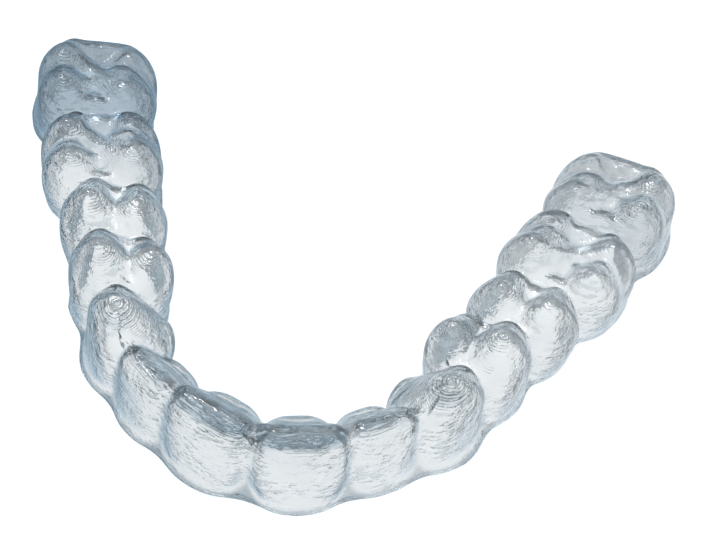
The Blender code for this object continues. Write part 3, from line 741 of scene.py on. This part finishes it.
def layer_steps_group():
    """Steps that the layers of the printed teeth under the sheet left in it.

    The height falls evenly through each layer and jumps back at its end, which turns a gentle slope
    into flat terraces. The edge is one at each jump and falls to zero within a share of the layer.
    Both fade where the surface stands steep, below the lowest height, and in patches.
    """
    tree, given, result = new_group(
        "layer_steps",
        [
            ("Vector", "NodeSocketVector", None),
            ("Levelness", "NodeSocketFloat", 1.0),
            ("Layer", "NodeSocketFloat", 0.0002),
            ("Warp", "NodeSocketFloat", 0.0001),
            ("Lowest", "NodeSocketFloat", 0.0055),
        ],
        [("Height", "NodeSocketFloat"), ("Edge", "NodeSocketFloat")],
    )
    vector = given.outputs["Vector"]
    height = separated(tree, vector)["Z"]
    drift = math_node(tree, "SUBTRACT", noise_node(tree, vector, DRIFT_SCALE, 3.0), 0.5)
    moved = math_node(tree, "MULTIPLY_ADD", drift, given.outputs["Warp"], height)
    phase = math_node(tree, "FRACT", math_node(tree, "DIVIDE", moved, given.outputs["Layer"]))
    fall = math_node(tree, "SUBTRACT", soft_step(tree, phase, *LAYER_JUMP), phase)
    nearness = math_node(tree, "PINGPONG", math_node(tree, "ADD", phase, EDGE_SHIFT), 0.5)
    edge = soft_step(tree, nearness, *LAYER_EDGE)
    breaks = soft_step(tree, noise_node(tree, vector, BREAK_SCALE, 2.0), *LAYER_BREAKS)

    above = math_node(tree, "SUBTRACT", height, given.outputs["Lowest"])
    level = soft_step(tree, given.outputs["Levelness"], *LEVEL_ENOUGH)
    level = product(tree, level, soft_step(tree, above, 0.0, LAYER_RISE))
    patches = soft_step(tree, noise_node(tree, vector, PATCH_SCALE, 3.0), *LAYER_PATCHES)
    share = product(tree, patches, level)
    tree.links.new(product(tree, fall, share), result.inputs["Height"])
    tree.links.new(product(tree, product(tree, edge, breaks), share), result.inputs["Edge"])
    return tree


def strokes_group():
    """Short level strokes: noise that is stretched along the sheet, kept only where it peaks."""
    tree, given, result = new_group(
        "level_strokes", [("Vector", "NodeSocketVector", None)], [("Height", "NodeSocketFloat")]
    )
    vector = given.outputs["Vector"]
    inputs = {0: vector, 1: STROKE_STRETCH}
    stretched = new_node(tree, "ShaderNodeVectorMath", inputs, operation="MULTIPLY").outputs[0]
    peak = soft_step(tree, noise_node(tree, stretched, STROKE_SCALE, 2.0), *STROKE_PEAKS)
    patches = soft_step(tree, noise_node(tree, vector, DRIFT_SCALE, 2.0), *STROKE_PATCHES)
    tree.links.new(product(tree, peak, patches), result.inputs["Height"])
    return tree


def sheet_relief(tree, settings, place, inner):
    """Fine layer steps, coarser ones high on the flanks, level strokes and unevenness all over.

    Gives the normal, the mask of the lines at the layer edges and round the flat discs on the
    cusps, and the mask of the strokes. The outer face has all of them more weakly.
    """
    upright = separated(tree, new_node(tree, "ShaderNodeNewGeometry").outputs["Normal"])["Z"]
    levelness = math_node(tree, "ABSOLUTE", upright)
    flat = soft_step(tree, levelness, settings.disc_start, settings.disc_full)
    stepped = product(tree, levelness, inverse(tree, flat))
    layers = layer_steps_group()
    steps = group_node(tree, layers, {
        "Vector": place,
        "Levelness": stepped,
        "Layer": settings.layer,
        "Warp": settings.layer * LAYER_WARP,
    })
    crests = group_node(tree, layers, {
        "Vector": place,
        "Levelness": product(tree, stepped, CREST_LEVELNESS),
        "Layer": settings.crest_layer,
        "Warp": settings.crest_layer,
        "Lowest": settings.crest_low,
    })
    strokes = group_node(tree, strokes_group(), {"Vector": place})["Height"]

    share = math_node(tree, "MULTIPLY_ADD", inner, 1.0 - OUTER_SHARE, OUTER_SHARE)
    normal = None
    for height, depth in (
        (steps["Height"], settings.layer * settings.step_share),
        (crests["Height"], settings.crest_layer * settings.step_share * CREST_DEPTH),
        (strokes, settings.stroke_depth),
    ):
        normal = bump(tree, product(tree, height, share), depth, normal)
    waves = noise_node(tree, place, WAVE_SCALE, 3.0, 0.6)
    normal = bump(tree, waves, settings.wave_depth, normal)

    # The lines round the discs and along the layer edges are tinted darker later: painted shade of the
    # relief.
    rim = product(tree, flat, inverse(tree, flat))
    high = soft_step(tree, separated(tree, place)["Z"], settings.crest_low, settings.edge_low)
    rim = product(tree, rim, product(tree, high, DISC_RIM))
    edges = math_node(tree, "MAXIMUM", steps["Edge"], crests["Edge"])
    edges = math_node(tree, "MAXIMUM", edges, rim)
    return normal, product(tree, edges, share), product(tree, strokes, inner)


def sheet_colour(tree, settings, place, cloud, inner, cut, edges, strokes):
    """The clear plastic's colour, with the tints of its parts laid over it one after another.

    The broad tints are painted shade on the front of the outer face, where a view ray meets each of
    them once, and they weaken towards +X, painted light on that side. The deep one is painted shade on
    the inner face, where light leaves the wall of a pocket. The cut edge is tinted where it is; the
    lines are painted shade of the layer steps' relief, and the strokes are marks.
    """
    front = inverse(tree, new_node(tree, "ShaderNodeNewGeometry").outputs["Backfacing"])
    where = separated(tree, place)
    # Painted shade: the sheet darkens towards the back, over the last molars.
    backward = soft_step(tree, where["Y"], settings.end_start, settings.end_full)
    # Painted shade: the inner face of a pocket wall, seen from inside the pocket, is tinted darker, so
    # walls seen through the sheet look shaded.
    pocket_wall_shade = product(tree, product(tree, inner, front), inverse(tree, backward))
    outer_front = product(tree, inverse(tree, inner), front)
    # Painted light: the side, gum and end shades weaken towards +X, so that side looks more brightly
    # lit.
    bright = soft_step(tree, where["X"], 0.0, settings.bright_end)
    lit_side_factor = math_node(tree, "MULTIPLY_ADD", bright, -settings.bright_share, 1.0)
    shaded_front = product(tree, outer_front, lit_side_factor)
    # Painted shade and painted reflection where the sheet is seen edge on; a little of the darkening is
    # the real longer path through the plastic.
    grazing = new_node(tree, "ShaderNodeLayerWeight", {"Blend": 0.5}).outputs["Facing"]
    edge_on_shade = product(tree, shaded_front, soft_step(tree, grazing, *SEEN_EDGE_ON))
    # Painted shade: a darker band over the front teeth's biting edges.
    biting = product(
        tree, soft_step(tree, where["Z"], settings.edge_low, settings.edge_high),
        soft_step(tree, where["Y"], settings.edge_back, settings.edge_back - EDGE_FADE),
    )
    colour = colour_ramp(tree, cloud, BASE_COLOURS)
    for mask, tint in (
        # Painted shade on the pocket walls.
        (pocket_wall_shade, settings.deep_shade_colour),
        (cut, settings.cut_colour),
        # Painted shade and reflection of the sheet seen edge on.
        (edge_on_shade, settings.side_shade_colour),
        # Painted shade on the gum band and in the wedges between the crowns.
        (product(tree, shaded_front, attribute(tree, "gum_shade_band")), settings.gum_shade_colour),
        # Painted shade over the last molars.
        (product(tree, shaded_front, backward), settings.end_shade_colour),
        # Painted shade over the front teeth's biting edges.
        (product(tree, outer_front, biting), settings.edge_shade_colour),
        # Painted shade of the layer steps' relief and of the disc rims.
        (edges, settings.step_shade_and_mark_colour),
        # The strokes are marks on the sheet, in the same tint.
        (strokes, settings.step_shade_and_mark_colour),
    ):
        colour = tinted(tree, colour, mask, tint)
    return colour


def clear_plastic(settings):
    """Clear sheet: glass-like, faintly blue through its thickness, with layer steps in its surface.

    Light that falls through it on the way to the floor passes it unchanged.
    """
    material = bpy.data.materials.new("clear_plastic")
    material.use_nodes = True
    tree = material.node_tree
    tree.nodes.clear()
    place = new_node(tree, "ShaderNodeTexCoord").outputs["Object"]
    inner = attribute(tree, "inner_face")
    cut = attribute(tree, "cut_edge")
    cloud = noise_node(tree, place, CLOUD_SCALE, 3.0)
    normal, edges, strokes = sheet_relief(tree, settings, place, inner)
    smooth = math_node(tree, "MULTIPLY_ADD", cloud, *SMOOTH_ROUGHNESS)
    smooth = math_node(tree, "ADD", smooth, product(tree, inner, settings.frost))
    grain = noise_node(tree, place, GRAIN_SCALE, 2.0)
    rough_cut = product(tree, cut, math_node(tree, "MULTIPLY_ADD", grain, *CUT_ROUGHNESS))
    shader = new_node(tree, "ShaderNodeBsdfPrincipled", {
        "Base Color": sheet_colour(tree, settings, place, cloud, inner, cut, edges, strokes),
        "Roughness": math_node(tree, "MAXIMUM", smooth, rough_cut),
        "Normal": normal,
        "IOR": settings.ior,
        "Transmission Weight": 1.0,
        "Metallic": 0.0,
    })
    clear = new_node(tree, "ShaderNodeBsdfTransparent", {"Color": (1.0, 1.0, 1.0, 1.0)})
    path = new_node(tree, "ShaderNodeLightPath").outputs
    mix = new_node(tree, "ShaderNodeMixShader", {
        "Fac": math_node(tree, "MAXIMUM", path["Is Shadow Ray"], path["Is Diffuse Ray"]),
        1: shader.outputs["BSDF"],
        2: clear.outputs["BSDF"],
    })
    absorb = new_node(tree, "ShaderNodeVolumeAbsorption", {
        "Color": (*settings.volume_colour, 1.0), "Density": settings.absorption,
    })
    new_node(tree, "ShaderNodeOutputMaterial", {
        "Surface": mix.outputs["Shader"], "Volume": absorb.outputs["Volume"],
    })
    return material


def pale_floor(settings):
    """Plain pale floor, with a tint that only mirrored rays see and that weakens to the bright side."""
    material = bpy.data.materials.new("pale_floor")
    material.use_nodes = True
    tree = material.node_tree
    shader = tree.nodes["Principled BSDF"]
    place = new_node(tree, "ShaderNodeTexCoord").outputs["Object"]
    pale = tuple(settings.floor_colour)
    darker = tuple(channel * FLOOR_SHADE for channel in pale)
    cloud = noise_node(tree, place, FLOOR_SCALE, 3.0)
    colour = colour_ramp(tree, cloud, ((0.0, darker), (1.0, pale)))
    side = separated(tree, place)["X"]
    shade = soft_step(tree, side, settings.bright_side, -settings.bright_side)
    shade = math_node(tree, "MULTIPLY_ADD", shade, *MIRROR_SHADE)
    # Painted reflection: the floor is darker blue-grey only where the sheet mirrors it, weakening
    # towards +X, so the sheet seems to mirror a darker surround.
    mirrored = new_node(tree, "ShaderNodeLightPath").outputs["Is Reflection Ray"]
    colour = tinted(tree, colour, product(tree, mirrored, shade), settings.reflection_shade_colour)
    tree.links.new(colour, shader.inputs["Base Color"])
    shader.inputs["Roughness"].default_value = 0.9
    shader.inputs["Specular IOR Level"].default_value = 0.0
    return material


def floor_mesh(half_size):
    """A level square, a few cells a side: x and y run evenly over it, z is zero."""
    cells = 8
    edge = np.linspace(-half_size, half_size, cells + 1)
    x, y = np.meshgrid(edge, edge)
    points = np.stack([x, y, np.zeros(x.shape)], axis=-1).reshape(-1, 3)
    row = np.arange(cells)
    here = (row[:, None] * (cells + 1) + row).reshape(-1)
    faces = np.stack([here, here + 1, here + cells + 2, here + cells + 1], axis=-1)
    mesh = bpy.data.meshes.new("floor")
    mesh.from_pydata(points.tolist(), [], faces.tolist())
    return mesh


def sky(settings):
    """Soft studio surround: bright overhead, greyer and bluer towards the horizon."""
    world = bpy.data.worlds.new("studio")
    bpy.context.scene.world = world
    world.use_nodes = True
    tree = world.node_tree
    background = tree.nodes["Background"]
    upward = separated(tree, new_node(tree, "ShaderNodeTexCoord").outputs["Generated"])["Z"]
    tree.links.new(colour_ramp(tree, upward, SKY_COLOURS), background.inputs["Color"])
    background.inputs["Strength"].default_value = settings.sky_strength


def key_lamp(settings):
    """A square lamp over the floor, behind and to the -X side, that faces the origin."""
    light = bpy.data.lights.new("key_lamp", "AREA")
    light.shape = "SQUARE"
    light.size = LAMP_SIZE
    light.energy = settings.key_power
    holder = bpy.data.objects.new("key_lamp", light)
    bpy.context.scene.collection.objects.link(holder)
    holder.location = LAMP_PLACE
    holder.rotation_euler = (-Vector(LAMP_PLACE)).to_track_quat("-Z", "Y").to_euler()


def length_setting(name, description, millimetres):
    return bpy.props.FloatProperty(
        name=name, description=description, default=millimetres * MM, unit="LENGTH"
    )


def share_setting(name, description, share):
    return bpy.props.FloatProperty(
        name=name, description=description, default=share, subtype="FACTOR"
    )


def colour_setting(name, description, colour):
    return bpy.props.FloatVectorProperty(
        name=name, description=description, default=colour, subtype="COLOR", size=3
    )


class AlignerSheetSettings(bpy.types.PropertyGroup):
    """Sizes and finish of the clear sheet."""

    thickness: length_setting("Sheet thickness", "Thickness of the formed sheet", 0.75)
    rows: bpy.props.IntProperty(
        name="Rows", description="Points from the trim to the middle line of one face", default=49
    )
    trim_rounding: length_setting("Trim rounding", "How far the cut edge is rounded over", 0.12)
    layer: length_setting("Layer", "Layer thickness of the printed teeth under the sheet", 0.19)
    crest_layer: length_setting(
        "Crest layer", "Spacing of the coarser steps on the flanks under the crests", 0.38
    )
    crest_low: length_setting(
        "Crest low", "Height where the coarser steps and the disc rims begin", 7.0
    )
    disc_start: share_setting(
        "Disc start", "Levelness where the steps begin to fade into a flat disc", 0.90
    )
    disc_full: share_setting(
        "Disc full", "Levelness where a cusp is flat and free of steps", 0.955
    )
    step_share: share_setting(
        "Step share", "Depth of the layer steps, as a share of the layer", 0.68
    )
    stroke_depth: length_setting("Stroke depth", "Depth of the level strokes", 0.03)
    wave_depth: length_setting("Wave depth", "Depth of the unevenness all over", 0.14)
    frost: share_setting("Frost", "Roughness that the printed teeth left on the inner face", 0.15)
    ior: bpy.props.FloatProperty(
        name="Refraction", description="Refractive index of the plastic", default=1.5
    )
    # Painted shade: the darker tint of a pocket wall seen from inside the pocket.
    deep_shade_colour: colour_setting(
        "Deep shade colour", "Tint of a wall that is seen from inside a pocket", (0.38, 0.50, 0.58)
    )
    # Painted shade and reflection where the sheet is seen edge on, partly the real longer path through
    # it.
    side_shade_colour: colour_setting(
        "Side shade colour", "Tint of the sheet where it is seen edge on", (0.43, 0.58, 0.70)
    )
    # Painted shade on the gum band and in the wedges between the crowns.
    gum_shade_colour: colour_setting(
        "Gum shade colour",
        "Tint of the gum band and of the wedges between the crowns",
        (0.30, 0.36, 0.41),
    )
    # Painted shade: the sheet over the last molars is tinted darker.
    end_shade_colour: colour_setting(
        "End shade colour", "Tint of the sheet over the last molars", (0.21, 0.30, 0.385)
    )
    # Painted light: the sheet's painted shades are weakest towards +X.
    bright_end: length_setting(
        "Bright end", "Place along X where the sheet is palest at its sides", 24.0
    )
    bright_share: share_setting(
        "Bright share", "Share of the side, gum and end tints that is left out there", 0.48
    )
    # Where the painted shade over the last molars begins and is full.
    end_start: length_setting("End start", "Place along Y where the end tint begins", 1.5)
    end_full: length_setting("End full", "Place along Y where the end tint is full", 15.0)
    # Painted shade over the front teeth's biting edges.
    edge_shade_colour: colour_setting(
        "Edge shade colour", "Tint of the sheet over the front teeth's biting edges", (0.40, 0.50, 0.58)
    )
    edge_low: length_setting("Edge low", "Height where the tint of the biting edges begins", 8.2)
    edge_high: length_setting(
        "Edge high", "Height where the tint of the biting edges is full", 9.0
    )
    edge_back: length_setting(
        "Edge back", "Place along Y in front of which the biting edges are tinted", -13.0
    )
    cut_colour: colour_setting("Cut colour", "Tint of the cut edge", (0.55, 0.62, 0.67))
    # Painted shade of the layer steps' relief and the disc rims, and the colour of the stroke marks.
    step_shade_and_mark_colour: colour_setting(
        "Step shade and mark colour", "Tint of the layer edges and the strokes", (0.60, 0.66, 0.67)
    )
    volume_colour: colour_setting(
        "Volume colour", "Colour that the plastic leaves in the light", (0.40, 0.50, 0.555)
    )
    absorption: bpy.props.FloatProperty(
        name="Absorption", description="Absorption in the plastic, per metre", default=130.0
    )


class AlignerStageSettings(bpy.types.PropertyGroup):
    """Camera, floor and light."""

    camera_place: bpy.props.FloatVectorProperty(
        name="Camera place", description="Where the camera stands", size=3, subtype="XYZ",
        default=(0.03145, -0.21177, 0.24032), unit="LENGTH",
    )
    camera_turn: bpy.props.FloatVectorProperty(
        name="Camera turn", description="Turn of the camera about X, Y and Z, in radians", size=3,
        subtype="EULER",
        default=(math.radians(42.179), math.radians(-5.148), math.radians(12.893)),
    )
    lens: bpy.props.FloatProperty(
        name="Lens", description="Focal length on a 36 mm wide picture, in millimetres", default=163.38
    )
    floor_colour: colour_setting("Floor colour", "Colour of the floor", (0.92, 0.92, 0.92))
    reflection_shade_colour: colour_setting(
        # Painted reflection: the darker floor that only the sheet's mirrored rays see.
        "Reflection shade on floor", "Tint of the floor where the sheet mirrors it", (0.26, 0.35, 0.42)
    )
    bright_side: length_setting(
        "Bright side", "Place along X where the mirrored floor is brightest", 30.0
    )
    floor_size: length_setting("Floor size", "Half the side of the floor", 1500.0)
    sky_strength: bpy.props.FloatProperty(
        name="Sky strength", description="Brightness of the surround", default=1.3
    )
    key_power: bpy.props.FloatProperty(
        name="Key power", description="Power of the overhead lamp", default=1.6, unit="POWER"
    )


class ALIGNER_OT_sheet(bpy.types.Operator):
    """Builds the clear sheet: both faces of the formed tray, joined along the trim"""

    bl_idname = "aligner.sheet"
    bl_label = "Clear sheet"

    def execute(self, context):
        settings = context.scene.aligner_sheet
        outer, inner, gums = sheet_surfaces(settings.thickness / MM, settings.rows)
        trim = trim_rows(outer, inner, settings.trim_rounding / MM)
        outer[:, 0] = trim[:, 0]
        inner[:, 0] = trim[:, -1]
        points = np.concatenate([outer[:, ::-1], trim[:, 1:-1], inner], axis=1)
        cut_start = settings.rows - 1
        inner_face = np.zeros(points.shape[:2])
        inner_face[:, cut_start + TRIM_STEPS // 2 :] = 1.0
        cut_edge = np.zeros(points.shape[:2])
        cut_edge[:, cut_start : cut_start + TRIM_STEPS + 1] = 1.0
        edge_gums = np.repeat(gums[:, :1], points.shape[1] - 2 * settings.rows, axis=1)
        marks = {
            "inner_face": inner_face,
            "cut_edge": cut_edge,
            # Where the painted shade of the gum band lies, one value a point.
            "gum_shade_band": np.concatenate([gums[:, ::-1], edge_gums, gums], axis=1),
        }
        mesh = closed_mesh("clear_sheet", points, marks)
        mesh.materials.append(clear_plastic(settings))
        piece = add_piece("clear_sheet", mesh)
        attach(piece, "root")
        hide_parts(NODE)
        return {"FINISHED"}


class ALIGNER_OT_stage(bpy.types.Operator):
    """Sets the camera, the pale floor and the soft light"""

    bl_idname = "aligner.stage"
    bl_label = "Stage"

    def execute(self, context):
        settings = context.scene.aligner_stage
        camera = bpy.data.cameras.new("camera")
        camera.lens = settings.lens
        camera.clip_start = 0.01
        holder = bpy.data.objects.new("camera", camera)
        context.scene.collection.objects.link(holder)
        turn = Euler(settings.camera_turn, "XYZ").to_matrix().to_4x4()
        holder.matrix_world = Matrix.Translation(settings.camera_place) @ turn
        context.scene.camera = holder
        floor = add_piece("floor", floor_mesh(settings.floor_size))
        floor.data.materials.append(pale_floor(settings))
        sky(settings)
        key_lamp(settings)
        context.scene.view_settings.view_transform = "Standard"
        return {"FINISHED"}


class ALIGNER_PT_panel(bpy.types.Panel):
    bl_idname = "ALIGNER_PT_panel"
    bl_label = "Clear aligner"
    bl_space_type = "VIEW_3D"
    bl_region_type = "UI"
    bl_category = "Aligner"

    def draw(self, context):
        for settings, operator in (
            (context.scene.aligner_sheet, ALIGNER_OT_sheet),
            (context.scene.aligner_stage, ALIGNER_OT_stage),
        ):
            box = self.layout.box()
            for name in settings.__annotations__:
                box.prop(settings, name)
            box.operator(operator.bl_idname)


CLASSES = (
    AlignerSheetSettings,
    AlignerStageSettings,
    ALIGNER_OT_sheet,
    ALIGNER_OT_stage,
    ALIGNER_PT_panel,
)


def register():
    for cls in CLASSES:
        bpy.utils.register_class(cls)
    bpy.types.Scene.aligner_sheet = bpy.props.PointerProperty(type=AlignerSheetSettings)
    bpy.types.Scene.aligner_stage = bpy.props.PointerProperty(type=AlignerStageSettings)


def unregister():
    del bpy.types.Scene.aligner_stage
    del bpy.types.Scene.aligner_sheet
    for cls in reversed(CLASSES):
        bpy.utils.unregister_class(cls)


def main():
    register()
    bpy.ops.aligner.stage()
    bpy.ops.aligner.sheet()


if __name__ == "__main__":
    main()
